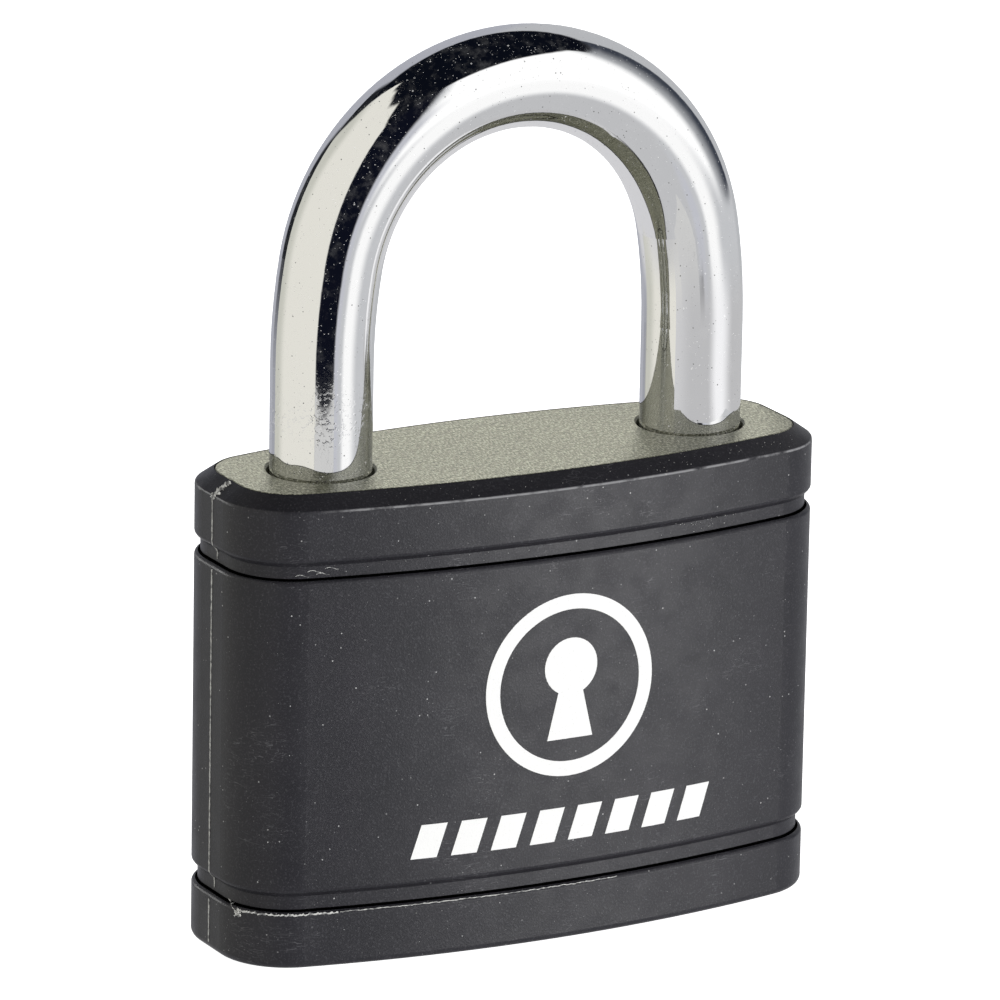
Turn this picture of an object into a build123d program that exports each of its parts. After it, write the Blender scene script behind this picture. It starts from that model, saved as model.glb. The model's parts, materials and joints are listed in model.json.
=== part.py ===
from build123d import *
from math import acos, cos, degrees, hypot, pi, radians, sin
import os

# A jacketed padlock worked by a disc-detainer cylinder.
# Millimetres. X is the width, Y the depth (the front is -Y), Z up from the underside of the base.
# The lock is modelled closed, with the cylinder turned to open: both locking balls are drawn in.

# ---- plan outline, shared by the jacket and everything that fills it ----
HALF_WIDTH = 32.0
HALF_DEPTH = 12.05  # at the middle of the bowed front
BOW_RADIUS = 127.0  # of the front and back faces
CORNER_RADIUS = 7.2

# ---- heights of the jacket's bands ----
CAP_TOP = 5.74
PANEL_BOTTOM = 7.84
PANEL_TOP = 39.03
COLLAR_BOTTOM = 41.0
RIM_EDGE = 45.94  # where the collar's bevel starts
BODY_TOP = 47.24

JACKET_WALL = 1.87
JACKET_GAP = 0.05
GROOVE_DEPTH = 0.60
GROOVE_GAP = 0.10  # between a groove's floor and the band below it
TONGUE_INSET = 1.0  # outside of the tongue that enters the band below
TONGUE_LENGTH = 1.7
REBATE_DEPTH = 1.9
BAND_ROUND = 0.45  # upper outer edges of the two lower bands
UNDERCUT_ROUND = 0.40
RIM_ROUND = 0.35
BASE_ROUND = 0.70
BEAD_DEPTH = 0.35
BEAD_HEIGHT = 0.7
COLLAR_BEAD_Z = 44.8
CAP_BEAD_Z = 3.0
CAP_FLOOR = 2.0
KEY_MOUTH_RADIUS = 7.0
KEY_MOUTH_CHAMFER = 0.6

# ---- shackle ----
ROD_RADIUS = 5.0
LEG_X = 20.4
SIDE_ARC_RADIUS = 59.0
TOP_ARC_RADIUS = 19.85
OVERALL_HEIGHT = 89.15
TOE_END_Z = 32.5
TOE_CHAMFER = 0.8
HEEL_END_Z = 11.5
HEEL_HEAD_TOP = 13.7
NECK_TOP_Z = 32.5
NECK_RADIUS = 2.6
HEEL_CHAMFER = 0.5

# ---- locking balls and their cam ----
BALL_RADIUS = 5.0
BALL_Z = 39.0
BALL_RUNNING_GAP = 0.05
BALL_IN_X = 10.1
BALL_OUT_X = 12.5
NOTCH_CLEARANCE = 0.1
CAM_HEIGHT = 5.0
CAM_STEM_RADIUS = 4.4
CAM_STEM_BOTTOM = 33.2
CAM_STUB_RADIUS = 2.0
CAM_STUB_TOP = 45.5
CAM_STEPS = 8  # computed points along each quarter of the cam

# ---- steel body ----
BODY_BOTTOM = 4.55
BODY_EDGE = 0.2
LEG_BORE_RADIUS = 5.27
LEG_BORE_CHAMFER = 0.2
HEEL_BORE_BOTTOM = 6.5
TOE_BORE_BOTTOM = 31.5
CHAMBER_RADIUS = 7.75
CHAMBER_TOP = 44.2
SHAFT_GAP = 0.05

STOP_PIN_RADIUS = 1.2
STOP_PIN_Z = 30.9
STOP_PIN_CLEARANCE = 0.3
STOP_PIN_HALF_LENGTH = 6.9
BORE_PLUG_OUTER_X = 29.0
BORE_PLUG_LENGTH = 2.8

# ---- bottom plate and its screw ----
PLATE_BOTTOM = 2.05
PLATE_TOP = 4.5
LUG_X = 26.6
LUG_THICKNESS = 1.4
LUG_LIP = 0.6
LUG_WIDTH = 4.0
LUG_TOP = 7.5
LUG_LIP_HEIGHT = 1.2
SCREW_RADIUS = 2.0
SCREW_HOLE_RADIUS = 2.2
SCREW_END_Z = 2.6
SCREW_HEAD_RADIUS = 3.5
SCREW_HEAD_HEIGHT = 3.0
SCREW_SEAT_Z = 26.5
SCREW_RECESS_RADIUS = 3.8
SCREW_SOCKET_FLATS = 3.0
SCREW_SOCKET_DEPTH = 1.8
SCREW_HEAD_EDGE = 0.4

# ---- disc-detainer cylinder ----
HOUSING_RADIUS = 8.1
HOUSING_BORE = 6.5
HOUSING_BOTTOM = 4.6
HOUSING_TOP = 30.1
HOUSING_KEY_WIDTH = 3.0
HOUSING_KEY_RADIUS = 9.0
SIDEBAR_GROOVE_RADIUS = 7.35
CORE_RADIUS = 6.45
CORE_BORE = 5.25
CORE_NOSE_RADIUS = 6.0
CORE_NOSE_BOTTOM = 2.6
CORE_SHOULDER_Z = 4.65
CORE_TOP = 32.0
CORE_FLOOR_Z = 5.2
CORE_NOSE_CHAMFER = 0.3
KEYWAY_RADIUS = 2.95
DISC_RADIUS = 5.2
DISC_THICKNESS = 1.8
DISC_PITCH = 2.5
SPACER_THICKNESS = 0.6
SPACER_HOLE_RADIUS = 3.4
STACK_GAP = 0.05
ANTI_DRILL_THICKNESS = 1.6
DISC_KEY_RADIUS = 2.6
DISC_KEY_FLAT = 0.9  # distance of the key hole's flat from the axis
DISC_CODES = (2, 5, 1, 4, 0, 3, 5, 2)
CODE_STEP = 15.0  # degrees of key cut for each code number
GATE_RADIUS = 4.25
GATE_WIDTH = 2.1
FALSE_GATE_RADIUS = 4.8
FALSE_GATE_WIDTH = 1.2
FALSE_GATE_ANGLES = (-60.0, 45.0)
SIDEBAR_WIDTH = 1.9
SIDEBAR_INNER = 4.35
SIDEBAR_OUTER = 6.35
SIDEBAR_BOTTOM = 7.2
SIDEBAR_TOP = 26.6
SIDEBAR_NOSE = 0.5
PLUG_BOTTOM = 27.0
PLUG_TOP = 31.0
PLUG_LUG_BOTTOM = 28.2
PLUG_LUG_WIDTH = 2.4
TONGUE_WIDTH = 2.4
TONGUE_SPAN = 7.0
TONGUE_TOP = 35.0
CLIP_BOTTOM = 30.3
CLIP_THICKNESS = 0.8
CLIP_INNER = 6.0
CLIP_OUTER = 7.3
CLIP_MOUTH = 5.0

# ---- shackle spring ----
SPRING_WIRE_RADIUS = 0.42
SPRING_COIL_RADIUS = 4.2
SPRING_TURNS = 4
SPRING_BOTTOM = 6.55
SPRING_TOP = 11.4

# ---- small allowances ----
FIXED_GAP = 0.02  # round pieces that are pressed or screwed in
LUG_GAP = 0.1
LEVEL_SLACK = 1e-3
HARDWARE_EDGE = 0.3
HEX_SIDES = 6
HALF_TURN = 180.0

# ---- worked out from the above ----
BOW_CENTRE_Y = BOW_RADIUS - HALF_DEPTH
BODY_INSET = JACKET_WALL + JACKET_GAP
ARC_SPAN = SIDE_ARC_RADIUS - TOP_ARC_RADIUS
ARC_ANGLE = degrees(acos((SIDE_ARC_RADIUS - LEG_X) / ARC_SPAN))
TOP_ARC_CENTRE_Z = OVERALL_HEIGHT - ROD_RADIUS - TOP_ARC_RADIUS
SPRING_LINE_Z = TOP_ARC_CENTRE_Z - ARC_SPAN * sin(radians(ARC_ANGLE))
STOP_PIN_X = LEG_X + NECK_RADIUS + STOP_PIN_CLEARANCE + STOP_PIN_RADIUS
DISC_BASE = CORE_FLOOR_Z + STACK_GAP + ANTI_DRILL_THICKNESS + STACK_GAP
CAM_RISE = (BALL_OUT_X - BALL_IN_X) / (pi / 2)  # outward travel of the balls per radian
BALL_TRACK = BALL_RADIUS + BALL_RUNNING_GAP


def outline(inset):
    """Draw the padlock's plan, moved inwards by inset, in the sketch that is open."""
    for side, mode in ((1, Mode.ADD), (-1, Mode.INTERSECT)):
        with Locations((0, side * BOW_CENTRE_Y)):
            Circle(BOW_RADIUS - inset, mode=mode)
    Rectangle(2 * (HALF_WIDTH - inset), 2 * HALF_DEPTH, mode=Mode.INTERSECT)
    fillet(vertices(), CORNER_RADIUS - inset)


def slab(low, high, inset, mode=Mode.ADD):
    """Add or cut the plan outline between two heights."""
    with BuildSketch(Plane.XY.offset(low)) as plan:
        outline(inset)
    extrude(plan.sketch, amount=high - low, mode=mode)


def bead(low, height, inset, depth, mode):
    """Add a rib, or cut a groove, that runs round the plan outline."""
    with BuildSketch() as inner:
        outline(inset + depth)
    with BuildSketch(Plane.XY.offset(low)) as ring:
        outline(inset)
        add(inner.sketch, mode=Mode.SUBTRACT)
    extrude(ring.sketch, amount=height, mode=mode)


def post(x, radius, low, high, mode=Mode.ADD):
    """Add or cut an upright cylinder on the line y = 0."""
    with BuildSketch(Plane.XY.offset(low)) as disc:
        with Locations((x, 0)):
            Circle(radius)
    extrude(disc.sketch, amount=high - low, mode=mode)


def block(x, width, depth, low, high, mode=Mode.ADD, y=0.0):
    """Add or cut an upright block centred at x, y."""
    with BuildSketch(Plane.XY.offset(low)) as base:
        with Locations((x, y)):
            Rectangle(width, depth)
    extrude(base.sketch, amount=high - low, mode=mode)


def cross_bar(x_low, x_high, radius, z, mode=Mode.ADD):
    """Add or cut a cylinder that lies along X."""
    with BuildSketch(Plane.YZ.offset(x_low)) as disc:
        with Locations((0, z)):
            Circle(radius)
    extrude(disc.sketch, amount=x_high - x_low, mode=mode)


def through_bar(x, z, radius, half_length, mode=Mode.ADD):
    """Add or cut a cylinder that lies along Y, centred on y = 0."""
    with BuildSketch(Plane.XZ) as disc:
        with Locations((x, z)):
            Circle(radius)
    extrude(disc.sketch, amount=half_length, both=True, mode=mode)


def edges_at(height):
    """Every edge of the open part that lies at one height."""
    return edges().filter_by_position(Axis.Z, height - LEVEL_SLACK, height + LEVEL_SLACK)


def ring_at(height, x, radius):
    """The round edge of one radius at one height of the open part, centred at x on the line y = 0."""
    rings = edges_at(height).filter_by(GeomType.CIRCLE)
    return rings.filter_by(
        lambda ring: hypot(ring.arc_center.X - x, ring.arc_center.Y, ring.radius - radius) < LEVEL_SLACK
    )


def skirt(low, seat):
    """Shape the lower end of a jacket band: a bevel, the groove's floor and the tongue below it."""
    chamfer(edges_at(low - GROOVE_DEPTH), GROOVE_DEPTH)
    fillet(edges_at(low), UNDERCUT_ROUND)
    slab(seat + GROOVE_GAP, low - GROOVE_DEPTH, GROOVE_DEPTH)
    slab(seat - TONGUE_LENGTH, seat + GROOVE_GAP, TONGUE_INSET)


os.makedirs("parts", exist_ok=True)

# ---- jacket, in three bands ----
with BuildPart() as top_collar:
    slab(COLLAR_BOTTOM - GROOVE_DEPTH, BODY_TOP, 0)
    chamfer(
        edges_at(BODY_TOP),
        length=JACKET_WALL,
        length2=BODY_TOP - RIM_EDGE,
        reference=faces().sort_by(Axis.Z)[-1],
    )
    fillet(edges_at(RIM_EDGE), RIM_ROUND)
    skirt(COLLAR_BOTTOM, PANEL_TOP)
    slab(PANEL_TOP - TONGUE_LENGTH, BODY_TOP, JACKET_WALL, mode=Mode.SUBTRACT)
    bead(COLLAR_BEAD_Z, BEAD_HEIGHT, JACKET_WALL, BEAD_DEPTH, Mode.ADD)
top_collar.part.label = "top_collar"
export_step(top_collar.part, "parts/top_collar.step")

with BuildPart() as middle_sleeve:
    slab(PANEL_BOTTOM - GROOVE_DEPTH, PANEL_TOP, 0)
    fillet(edges_at(PANEL_TOP), BAND_ROUND)
    skirt(PANEL_BOTTOM, CAP_TOP)
    slab(CAP_TOP - TONGUE_LENGTH, PANEL_TOP, JACKET_WALL, mode=Mode.SUBTRACT)
    slab(PANEL_TOP - REBATE_DEPTH, PANEL_TOP, GROOVE_DEPTH, mode=Mode.SUBTRACT)
middle_sleeve.part.label = "middle_sleeve"
export_step(middle_sleeve.part, "parts/middle_sleeve.step")

with BuildPart() as base_cap:
    slab(0, CAP_TOP, 0)
    fillet(edges_at(CAP_TOP), BAND_ROUND)
    fillet(edges_at(0), BASE_ROUND)
    slab(CAP_FLOOR, CAP_TOP, JACKET_WALL, mode=Mode.SUBTRACT)
    slab(CAP_TOP - REBATE_DEPTH, CAP_TOP, GROOVE_DEPTH, mode=Mode.SUBTRACT)
    bead(CAP_BEAD_Z, BEAD_HEIGHT, JACKET_WALL, BEAD_DEPTH, Mode.ADD)
    post(0, KEY_MOUTH_RADIUS, 0, CAP_FLOOR, mode=Mode.SUBTRACT)
    chamfer(ring_at(0, 0, KEY_MOUTH_RADIUS), KEY_MOUTH_CHAMFER)
base_cap.part.label = "base_cap"
export_step(base_cap.part, "parts/base_cap.step")

# ---- steel body ----
with BuildPart() as lock_body:
    slab(BODY_BOTTOM, BODY_TOP, BODY_INSET)
    fillet(edges_at(BODY_TOP), BODY_EDGE)
    for x, floor in ((LEG_X, HEEL_BORE_BOTTOM), (-LEG_X, TOE_BORE_BOTTOM)):
        post(x, LEG_BORE_RADIUS, floor, BODY_TOP, mode=Mode.SUBTRACT)
        chamfer(ring_at(BODY_TOP, x, LEG_BORE_RADIUS), LEG_BORE_CHAMFER)
    post(-LEG_X, SCREW_RECESS_RADIUS, SCREW_SEAT_Z, TOE_BORE_BOTTOM, mode=Mode.SUBTRACT)
    post(-LEG_X, SCREW_HOLE_RADIUS, BODY_BOTTOM, SCREW_SEAT_Z, mode=Mode.SUBTRACT)
    post(0, HOUSING_RADIUS + FIXED_GAP, BODY_BOTTOM, HOUSING_TOP + FIXED_GAP, mode=Mode.SUBTRACT)
    block(-HOUSING_KEY_RADIUS / 2, HOUSING_KEY_RADIUS + FIXED_GAP, HOUSING_KEY_WIDTH + 2 * FIXED_GAP,
          BODY_BOTTOM, HOUSING_TOP + FIXED_GAP, mode=Mode.SUBTRACT)
    post(0, CHAMBER_RADIUS, HOUSING_TOP, CHAMBER_TOP, mode=Mode.SUBTRACT)
    post(0, CAM_STUB_RADIUS + SHAFT_GAP, CHAMBER_TOP, CAM_STUB_TOP + SHAFT_GAP, mode=Mode.SUBTRACT)
    cross_bar(-HALF_WIDTH, LEG_X, BALL_TRACK, BALL_Z, mode=Mode.SUBTRACT)
    through_bar(STOP_PIN_X, STOP_PIN_Z, STOP_PIN_RADIUS + FIXED_GAP, HALF_DEPTH, mode=Mode.SUBTRACT)
    bead(COLLAR_BEAD_Z - JACKET_GAP, BEAD_HEIGHT + 2 * JACKET_GAP, BODY_INSET, BEAD_DEPTH, Mode.SUBTRACT)
    for width, low, high in (
        (LUG_THICKNESS, BODY_BOTTOM, LUG_TOP),
        (LUG_THICKNESS + LUG_LIP, LUG_TOP - LUG_LIP_HEIGHT - LUG_GAP, LUG_TOP + LUG_GAP),
    ):
        block(LUG_X + width / 2, width + 2 * LUG_GAP, LUG_WIDTH + 2 * LUG_GAP, low, high,
              mode=Mode.SUBTRACT)
lock_body.part.label = "lock_body"
export_step(lock_body.part, "parts/lock_body.step")

with BuildPart() as bore_plug:
    cross_bar(-BORE_PLUG_OUTER_X, BORE_PLUG_LENGTH - BORE_PLUG_OUTER_X, BALL_TRACK - FIXED_GAP, BALL_Z)
    chamfer(edges().group_by(Axis.X)[0], HARDWARE_EDGE)
bore_plug.part.label = "bore_plug"
export_step(bore_plug.part, "parts/bore_plug.step")

with BuildPart() as stop_pin:
    through_bar(STOP_PIN_X, STOP_PIN_Z, STOP_PIN_RADIUS, STOP_PIN_HALF_LENGTH)
    chamfer(edges().filter_by(GeomType.CIRCLE), HARDWARE_EDGE)
stop_pin.part.label = "stop_pin"
export_step(stop_pin.part, "parts/stop_pin.step")

with BuildPart() as bottom_plate:
    slab(PLATE_BOTTOM, PLATE_TOP, BODY_INSET)
    post(0, CORE_NOSE_RADIUS + SHAFT_GAP, PLATE_BOTTOM, PLATE_TOP, mode=Mode.SUBTRACT)
    post(-LEG_X, SCREW_RADIUS + FIXED_GAP, PLATE_BOTTOM, PLATE_TOP, mode=Mode.SUBTRACT)
    bead(CAP_BEAD_Z - JACKET_GAP, BEAD_HEIGHT + 2 * JACKET_GAP, BODY_INSET, BEAD_DEPTH, Mode.SUBTRACT)
    block(LUG_X + LUG_THICKNESS / 2, LUG_THICKNESS, LUG_WIDTH, PLATE_TOP, LUG_TOP)
    block(LUG_X + (LUG_THICKNESS + LUG_LIP) / 2, LUG_THICKNESS + LUG_LIP, LUG_WIDTH,
          LUG_TOP - LUG_LIP_HEIGHT, LUG_TOP)
bottom_plate.part.label = "bottom_plate"
export_step(bottom_plate.part, "parts/bottom_plate.step")

with BuildPart() as retaining_screw:
    post(-LEG_X, SCREW_RADIUS, SCREW_END_Z, SCREW_SEAT_Z)
    chamfer(edges_at(SCREW_END_Z), SCREW_HEAD_EDGE)
    post(-LEG_X, SCREW_HEAD_RADIUS, SCREW_SEAT_Z, SCREW_SEAT_Z + SCREW_HEAD_HEIGHT)
    fillet(edges_at(SCREW_SEAT_Z + SCREW_HEAD_HEIGHT), SCREW_HEAD_EDGE)
    with BuildSketch(Plane.XY.offset(SCREW_SEAT_Z + SCREW_HEAD_HEIGHT)) as socket:
        with Locations((-LEG_X, 0)):
            RegularPolygon(SCREW_SOCKET_FLATS / 2, HEX_SIDES, major_radius=False)
    extrude(amount=-SCREW_SOCKET_DEPTH, mode=Mode.SUBTRACT)
retaining_screw.part.label = "retaining_screw"
export_step(retaining_screw.part, "parts/retaining_screw.step")

# ---- shackle ----
with BuildPart() as shackle:
    with BuildLine(Plane.XZ) as bend:
        Line((LEG_X, NECK_TOP_Z), (LEG_X, SPRING_LINE_Z))
        JernArc(bend.line @ 1, (0, 1), SIDE_ARC_RADIUS, ARC_ANGLE)
        JernArc(bend.line @ 1, bend.line % 1, TOP_ARC_RADIUS, HALF_TURN - 2 * ARC_ANGLE)
        JernArc(bend.line @ 1, bend.line % 1, SIDE_ARC_RADIUS, ARC_ANGLE)
        Line(bend.line @ 1, (-LEG_X, TOE_END_Z))
    with BuildSketch(Plane.XY.offset(NECK_TOP_Z)) as bar:
        with Locations((LEG_X, 0)):
            Circle(ROD_RADIUS)
    sweep(path=bend.wire())
    post(LEG_X, NECK_RADIUS, HEEL_HEAD_TOP, NECK_TOP_Z)
    post(LEG_X, ROD_RADIUS, HEEL_END_Z, HEEL_HEAD_TOP)
    chamfer(ring_at(TOE_END_Z, -LEG_X, ROD_RADIUS), TOE_CHAMFER)
    chamfer(edges_at(HEEL_END_Z), HEEL_CHAMFER)
    with Locations((-BALL_OUT_X, 0, BALL_Z), (BALL_OUT_X, 0, BALL_Z)):
        Sphere(BALL_RADIUS + NOTCH_CLEARANCE, mode=Mode.SUBTRACT)
shackle.part.label = "shackle"
export_step(shackle.part, "parts/shackle.step")

with BuildPart() as shackle_spring:
    with BuildLine() as coil:
        Helix(
            pitch=(SPRING_TOP - SPRING_BOTTOM - 2 * SPRING_WIRE_RADIUS) / SPRING_TURNS,
            height=SPRING_TOP - SPRING_BOTTOM - 2 * SPRING_WIRE_RADIUS,
            radius=SPRING_COIL_RADIUS,
            center=(LEG_X, 0, SPRING_BOTTOM + SPRING_WIRE_RADIUS),
        )
    with BuildSketch(Plane(origin=coil.line @ 0, z_dir=coil.line % 0)) as wire:
        Circle(SPRING_WIRE_RADIUS)
    sweep(path=coil.wire(), is_frenet=True)
shackle_spring.part.label = "shackle_spring"
export_step(shackle_spring.part, "parts/shackle_spring.step")

# ---- locking balls, drawn in ----
with BuildPart() as heel_ball:
    with Locations((BALL_IN_X, 0, BALL_Z)):
        Sphere(BALL_RADIUS)
heel_ball.part.label = "heel_ball"
export_step(heel_ball.part, "parts/heel_ball.step")

with BuildPart() as toe_ball:
    with Locations((-BALL_IN_X, 0, BALL_Z)):
        Sphere(BALL_RADIUS)
toe_ball.part.label = "toe_ball"
export_step(toe_ball.part, "parts/toe_ball.step")


# ---- locking cam ----
def cam_point(turn):
    """A point of the cam's edge: where the ball's centre is at this turn, moved in by the ball's radius."""
    reach = BALL_IN_X + CAM_RISE * turn
    lean = hypot(reach, CAM_RISE)
    outward_x = (reach * cos(turn) + CAM_RISE * sin(turn)) / lean
    outward_y = (reach * sin(turn) - CAM_RISE * cos(turn)) / lean
    return (reach * cos(turn) - BALL_TRACK * outward_x, reach * sin(turn) - BALL_TRACK * outward_y)


CAM_CORNER = (BALL_IN_X - BALL_TRACK, 0)

with BuildPart() as locking_cam:
    with BuildSketch(Plane.XY.offset(BALL_Z - CAM_HEIGHT / 2)) as lobes:
        with BuildLine():
            edge_points = [cam_point(step * pi / 2 / CAM_STEPS) for step in range(CAM_STEPS + 1)]
            Line((0, 0), CAM_CORNER)
            RadiusArc(CAM_CORNER, edge_points[0], -BALL_TRACK)
            Spline(*edge_points)
            Line(edge_points[-1], (0, 0))
        make_face()
        Rectangle(CHAMBER_RADIUS, CHAMBER_RADIUS, align=(Align.MIN, Align.MIN), mode=Mode.INTERSECT)
        mirror(about=Plane.YZ)
        mirror(about=Plane.XZ)
    extrude(amount=CAM_HEIGHT)
    post(0, CAM_STEM_RADIUS, CAM_STEM_BOTTOM, BALL_Z - CAM_HEIGHT / 2)
    block(0, TONGUE_SPAN + 2 * SHAFT_GAP, TONGUE_WIDTH + 2 * SHAFT_GAP,
          CAM_STEM_BOTTOM, TONGUE_TOP + SHAFT_GAP, mode=Mode.SUBTRACT)
    post(0, CAM_STUB_RADIUS, BALL_Z + CAM_HEIGHT / 2, CAM_STUB_TOP - SHAFT_GAP)
locking_cam.part.label = "locking_cam"
export_step(locking_cam.part, "parts/locking_cam.step")

# ---- cylinder: the fixed housing and the core that turns in it ----
with BuildPart() as cylinder_housing:
    post(0, HOUSING_RADIUS, HOUSING_BOTTOM, HOUSING_TOP)
    block(-HOUSING_KEY_RADIUS / 2, HOUSING_KEY_RADIUS, HOUSING_KEY_WIDTH, HOUSING_BOTTOM, HOUSING_TOP)
    post(0, HOUSING_BORE, HOUSING_BOTTOM, HOUSING_TOP, mode=Mode.SUBTRACT)
    block(SIDEBAR_GROOVE_RADIUS / 2, SIDEBAR_GROOVE_RADIUS, GATE_WIDTH,
          SIDEBAR_BOTTOM - STACK_GAP, SIDEBAR_TOP + STACK_GAP, mode=Mode.SUBTRACT)
cylinder_housing.part.label = "cylinder_housing"
export_step(cylinder_housing.part, "parts/cylinder_housing.step")

with BuildPart() as cylinder_core:
    post(0, CORE_NOSE_RADIUS, CORE_NOSE_BOTTOM, CORE_SHOULDER_Z)
    chamfer(edges_at(CORE_NOSE_BOTTOM), CORE_NOSE_CHAMFER)
    post(0, CORE_RADIUS, CORE_SHOULDER_Z, CORE_TOP)
    post(0, CORE_BORE, CORE_FLOOR_Z, CORE_TOP, mode=Mode.SUBTRACT)
    post(0, KEYWAY_RADIUS, CORE_NOSE_BOTTOM, CORE_FLOOR_Z, mode=Mode.SUBTRACT)
    block(0, SIDEBAR_WIDTH + 2 * STACK_GAP, CORE_RADIUS,
          SIDEBAR_BOTTOM - STACK_GAP, SIDEBAR_TOP + STACK_GAP,
          mode=Mode.SUBTRACT, y=CORE_RADIUS / 2 + SIDEBAR_NOSE)
    block(0, 2 * HOUSING_RADIUS, PLUG_LUG_WIDTH + 2 * STACK_GAP,
          PLUG_LUG_BOTTOM - STACK_GAP, CORE_TOP, mode=Mode.SUBTRACT)
    with BuildSketch(Plane.XY.offset(CLIP_BOTTOM)) as clip_groove:
        Circle(HOUSING_RADIUS)
        Circle(CLIP_INNER, mode=Mode.SUBTRACT)
    extrude(amount=CLIP_THICKNESS, mode=Mode.SUBTRACT)
cylinder_core.part.label = "cylinder_core"
export_step(cylinder_core.part, "parts/cylinder_core.step")

with BuildPart() as core_circlip:
    with BuildSketch(Plane.XY.offset(CLIP_BOTTOM + STACK_GAP)) as clip:
        Circle(CLIP_OUTER)
        Circle(CLIP_INNER + STACK_GAP, mode=Mode.SUBTRACT)
        with Locations((0, -CLIP_OUTER)):
            Rectangle(CLIP_MOUTH, CLIP_OUTER, mode=Mode.SUBTRACT)
    extrude(amount=CLIP_THICKNESS - 2 * STACK_GAP)
core_circlip.part.label = "core_circlip"
export_step(core_circlip.part, "parts/core_circlip.step")

with BuildPart() as drive_plug:
    post(0, DISC_RADIUS, PLUG_BOTTOM, PLUG_TOP)
    with BuildSketch(Plane.XY.offset(PLUG_LUG_BOTTOM)) as lugs:
        Circle(SIDEBAR_OUTER)
        Rectangle(2 * SIDEBAR_OUTER, PLUG_LUG_WIDTH, mode=Mode.INTERSECT)
    extrude(amount=CLIP_BOTTOM - PLUG_LUG_BOTTOM - STACK_GAP)
    block(0, TONGUE_SPAN, TONGUE_WIDTH, PLUG_TOP, TONGUE_TOP)
drive_plug.part.label = "drive_plug"
export_step(drive_plug.part, "parts/drive_plug.step")


# ---- discs: each has the same gate but a key hole turned by its own code ----
with BuildSketch() as key_hole:
    Circle(DISC_KEY_RADIUS)
    with Locations((DISC_KEY_FLAT, 0)):
        Rectangle(DISC_KEY_RADIUS, 2 * DISC_KEY_RADIUS, align=(Align.MIN, Align.CENTER), mode=Mode.SUBTRACT)


def gate():
    """Cut the sidebar's gate through the rim of the disc that is being drawn."""
    with Locations((0, GATE_RADIUS)):
        Rectangle(GATE_WIDTH, DISC_RADIUS, align=(Align.CENTER, Align.MIN), mode=Mode.SUBTRACT)


for number, code in enumerate(DISC_CODES, start=1):
    with BuildPart() as disc:
        with BuildSketch(Plane.XY.offset(DISC_BASE + (number - 1) * DISC_PITCH)) as face:
            Circle(DISC_RADIUS)
            gate()
            for angle in FALSE_GATE_ANGLES:
                with PolarLocations(FALSE_GATE_RADIUS, 1, start_angle=angle + code * CODE_STEP / 2):
                    Rectangle(DISC_RADIUS, FALSE_GATE_WIDTH, align=(Align.MIN, Align.CENTER),
                              mode=Mode.SUBTRACT)
            add(key_hole.sketch, rotation=code * CODE_STEP, mode=Mode.SUBTRACT)
        extrude(amount=DISC_THICKNESS)
    disc.part.label = f"disc_{number}"
    export_step(disc.part, f"parts/disc_{number}.step")

with BuildPart() as anti_drill_disc:
    with BuildSketch(Plane.XY.offset(CORE_FLOOR_Z + STACK_GAP)) as face:
        Circle(DISC_RADIUS)
        add(key_hole.sketch, mode=Mode.SUBTRACT)
    extrude(amount=ANTI_DRILL_THICKNESS)
anti_drill_disc.part.label = "anti_drill_disc"
export_step(anti_drill_disc.part, "parts/anti_drill_disc.step")

with BuildPart() as spacer_washers:
    for number in range(1, len(DISC_CODES)):
        low = DISC_BASE + number * DISC_PITCH - SPACER_THICKNESS - STACK_GAP
        with BuildSketch(Plane.XY.offset(low)) as face:
            Circle(DISC_RADIUS)
            Circle(SPACER_HOLE_RADIUS, mode=Mode.SUBTRACT)
            gate()
        extrude(amount=SPACER_THICKNESS)
spacer_washers.part.label = "spacer_washers"
export_step(spacer_washers.part, "parts/spacer_washers.step")

with BuildPart() as sidebar:
    with BuildSketch(Plane.XY.offset(SIDEBAR_BOTTOM)) as bar_end:
        with Locations((0, SIDEBAR_INNER)):
            Rectangle(SIDEBAR_WIDTH, SIDEBAR_OUTER - SIDEBAR_INNER, align=(Align.CENTER, Align.MIN))
        chamfer(vertices().group_by(Axis.Y)[-1], SIDEBAR_NOSE)
    extrude(amount=SIDEBAR_TOP - SIDEBAR_BOTTOM)
sidebar.part.label = "sidebar"
export_step(sidebar.part, "parts/sidebar.step")
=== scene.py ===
"""The looks of a jacketed disc padlock: black plastic bands, painted top, chromed shackle."""
import json
import math
import random

import bpy
from mathutils import Matrix, Vector
from mathutils.bvhtree import BVHTree


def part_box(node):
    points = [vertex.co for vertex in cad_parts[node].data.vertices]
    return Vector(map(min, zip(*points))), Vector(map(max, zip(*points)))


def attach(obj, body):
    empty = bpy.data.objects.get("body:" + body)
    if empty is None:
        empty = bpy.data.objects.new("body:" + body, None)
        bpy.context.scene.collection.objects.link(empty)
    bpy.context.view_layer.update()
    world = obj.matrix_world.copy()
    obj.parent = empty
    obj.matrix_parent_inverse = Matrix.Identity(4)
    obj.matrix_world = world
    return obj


MM = 0.001

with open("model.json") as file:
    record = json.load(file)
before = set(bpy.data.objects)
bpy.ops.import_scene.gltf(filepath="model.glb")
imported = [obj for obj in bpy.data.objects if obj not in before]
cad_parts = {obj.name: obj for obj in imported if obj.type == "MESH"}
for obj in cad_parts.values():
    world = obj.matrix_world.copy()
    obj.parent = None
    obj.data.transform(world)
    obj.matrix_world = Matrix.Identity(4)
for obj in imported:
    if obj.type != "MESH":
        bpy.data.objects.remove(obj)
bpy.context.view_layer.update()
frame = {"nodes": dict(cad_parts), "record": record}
nodes = frame["nodes"]
record = frame["record"]
random.seed(7)


# ---------------------------------------------------------------- where things are
def mount_dims(name):
    """The dimensions of one mount of the record."""
    return next(m["dims"] for m in record["mounts"] if m["name"] == name)


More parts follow.
